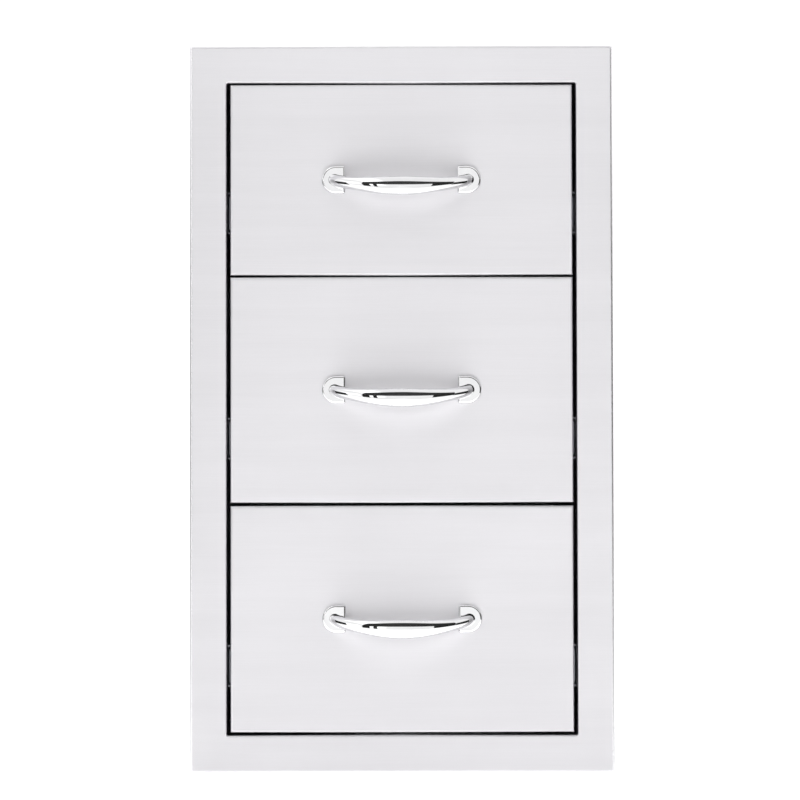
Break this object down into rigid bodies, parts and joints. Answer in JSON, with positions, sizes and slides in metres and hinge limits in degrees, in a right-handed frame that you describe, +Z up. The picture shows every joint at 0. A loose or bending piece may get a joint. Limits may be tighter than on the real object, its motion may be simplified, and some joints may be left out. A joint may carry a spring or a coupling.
{
  "type": "outdoor kitchen drawer unit",
  "caption": "Built-in stainless drawer unit for an outdoor kitchen island, with a flanged face frame, flush double-wall fronts, bow handles and full-extension ball-bearing rails.",
  "frame": {"origin": "centre of the wall cut-out, in the plane of the wall's face that the flange lies against", "axes": "+X to the right seen from the front, +Y from the front into the wall, +Z up"},
  "size_m": [0.432, 0.559, 0.7404],
  "materials": {
    "brushed_steel": "satin brushed stainless steel, grain across",
    "plain_steel": "mill-finish stainless sheet",
    "chrome": "polished",
    "screw_steel": "plain stainless screw",
    "rail_steel": "bright zinc plating",
    "cage_steel": "oiled steel strip and bearing balls",
    "rubber": "moulded black rubber"
  },
  "bodies": {
    "box": {"face_frame": "brushed_steel", "left_side_panel": "plain_steel", "right_side_panel": "plain_steel", "top_panel": "plain_steel", "bottom_panel": "plain_steel", "rear_panel": "plain_steel", "upper_left_cabinet_rail": "rail_steel", "upper_left_rail_stop": "rubber", "upper_right_cabinet_rail": "rail_steel", "upper_right_rail_stop": "rubber", "middle_left_cabinet_rail": "rail_steel", "middle_left_rail_stop": "rubber", "middle_right_cabinet_rail": "rail_steel", "middle_right_rail_stop": "rubber", "lower_left_cabinet_rail": "rail_steel", "lower_left_rail_stop": "rubber", "lower_right_cabinet_rail": "rail_steel", "lower_right_rail_stop": "rubber"},
    "upper_drawer": {"upper_front_skin": "brushed_steel", "upper_front_liner": "plain_steel", "upper_tray": "plain_steel", "upper_handle": "chrome", "upper_left_handle_screw": "screw_steel", "upper_left_drawer_rail": "rail_steel", "upper_right_handle_screw": "screw_steel", "upper_right_drawer_rail": "rail_steel"},
    "upper_carriers": {"upper_left_carrier_rail": "rail_steel", "upper_right_carrier_rail": "rail_steel"},
    "upper_outer_cages": {"upper_left_outer_ball_cage": "cage_steel", "upper_right_outer_ball_cage": "cage_steel"},
    "upper_inner_cages": {"upper_left_inner_ball_cage": "cage_steel", "upper_right_inner_ball_cage": "cage_steel"},
    "middle_drawer": {"middle_front_skin": "brushed_steel", "middle_front_liner": "plain_steel", "middle_tray": "plain_steel", "middle_handle": "chrome", "middle_left_handle_screw": "screw_steel", "middle_left_drawer_rail": "rail_steel", "middle_right_handle_screw": "screw_steel", "middle_right_drawer_rail": "rail_steel"},
    "middle_carriers": {"middle_left_carrier_rail": "rail_steel", "middle_right_carrier_rail": "rail_steel"},
    "middle_outer_cages": {"middle_left_outer_ball_cage": "cage_steel", "middle_right_outer_ball_cage": "cage_steel"},
    "middle_inner_cages": {"middle_left_inner_ball_cage": "cage_steel", "middle_right_inner_ball_cage": "cage_steel"},
    "lower_drawer": {"lower_front_skin": "brushed_steel", "lower_front_liner": "plain_steel", "lower_tray": "plain_steel", "lower_handle": "chrome", "lower_left_handle_screw": "screw_steel", "lower_left_drawer_rail": "rail_steel", "lower_right_handle_screw": "screw_steel", "lower_right_drawer_rail": "rail_steel"},
    "lower_carriers": {"lower_left_carrier_rail": "rail_steel", "lower_right_carrier_rail": "rail_steel"},
    "lower_outer_cages": {"lower_left_outer_ball_cage": "cage_steel", "lower_right_outer_ball_cage": "cage_steel"},
    "lower_inner_cages": {"lower_left_inner_ball_cage": "cage_steel", "lower_right_inner_ball_cage": "cage_steel"}
  },
  "joints": [
    {"name": "upper_drawer_slide", "type": "slide", "parent": "box", "child": "upper_drawer", "axis": [0, -1, 0], "range_m": [0, 0.457]},
    {"name": "upper_carriers_slide", "type": "slide", "parent": "box", "child": "upper_carriers", "axis": [0, -1, 0], "range_m": [0, 0.2285]},
    {"name": "upper_outer_cages_slide", "type": "slide", "parent": "box", "child": "upper_outer_cages", "axis": [0, -1, 0], "range_m": [0, 0.11425]},
    {"name": "upper_inner_cages_slide", "type": "slide", "parent": "box", "child": "upper_inner_cages", "axis": [0, -1, 0], "range_m": [0, 0.34275]},
    {"name": "middle_drawer_slide", "type": "slide", "parent": "box", "child": "middle_drawer", "axis": [0, -1, 0], "range_m": [0, 0.457]},
    {"name": "middle_carriers_slide", "type": "slide", "parent": "box", "child": "middle_carriers", "axis": [0, -1, 0], "range_m": [0, 0.2285]},
    {"name": "middle_outer_cages_slide", "type": "slide", "parent": "box", "child": "middle_outer_cages", "axis": [0, -1, 0], "range_m": [0, 0.11425]},
    {"name": "middle_inner_cages_slide", "type": "slide", "parent": "box", "child": "middle_inner_cages", "axis": [0, -1, 0], "range_m": [0, 0.34275]},
    {"name": "lower_drawer_slide", "type": "slide", "parent": "box", "child": "lower_drawer", "axis": [0, -1, 0], "range_m": [0, 0.457]},
    {"name": "lower_carriers_slide", "type": "slide", "parent": "box", "child": "lower_carriers", "axis": [0, -1, 0], "range_m": [0, 0.2285]},
    {"name": "lower_outer_cages_slide", "type": "slide", "parent": "box", "child": "lower_outer_cages", "axis": [0, -1, 0], "range_m": [0, 0.11425]},
    {"name": "lower_inner_cages_slide", "type": "slide", "parent": "box", "child": "lower_inner_cages", "axis": [0, -1, 0], "range_m": [0, 0.34275]}
  ],
  "couplings": [
    {"joint": "upper_carriers_slide", "follows": "upper_drawer_slide", "ratio": 0.5},
    {"joint": "upper_outer_cages_slide", "follows": "upper_drawer_slide", "ratio": 0.25},
    {"joint": "upper_inner_cages_slide", "follows": "upper_drawer_slide", "ratio": 0.75},
    {"joint": "middle_carriers_slide", "follows": "middle_drawer_slide", "ratio": 0.5},
    {"joint": "middle_outer_cages_slide", "follows": "middle_drawer_slide", "ratio": 0.25},
    {"joint": "middle_inner_cages_slide", "follows": "middle_drawer_slide", "ratio": 0.75},
    {"joint": "lower_carriers_slide", "follows": "lower_drawer_slide", "ratio": 0.5},
    {"joint": "lower_outer_cages_slide", "follows": "lower_drawer_slide", "ratio": 0.25},
    {"joint": "lower_inner_cages_slide", "follows": "lower_drawer_slide", "ratio": 0.75}
  ]
}
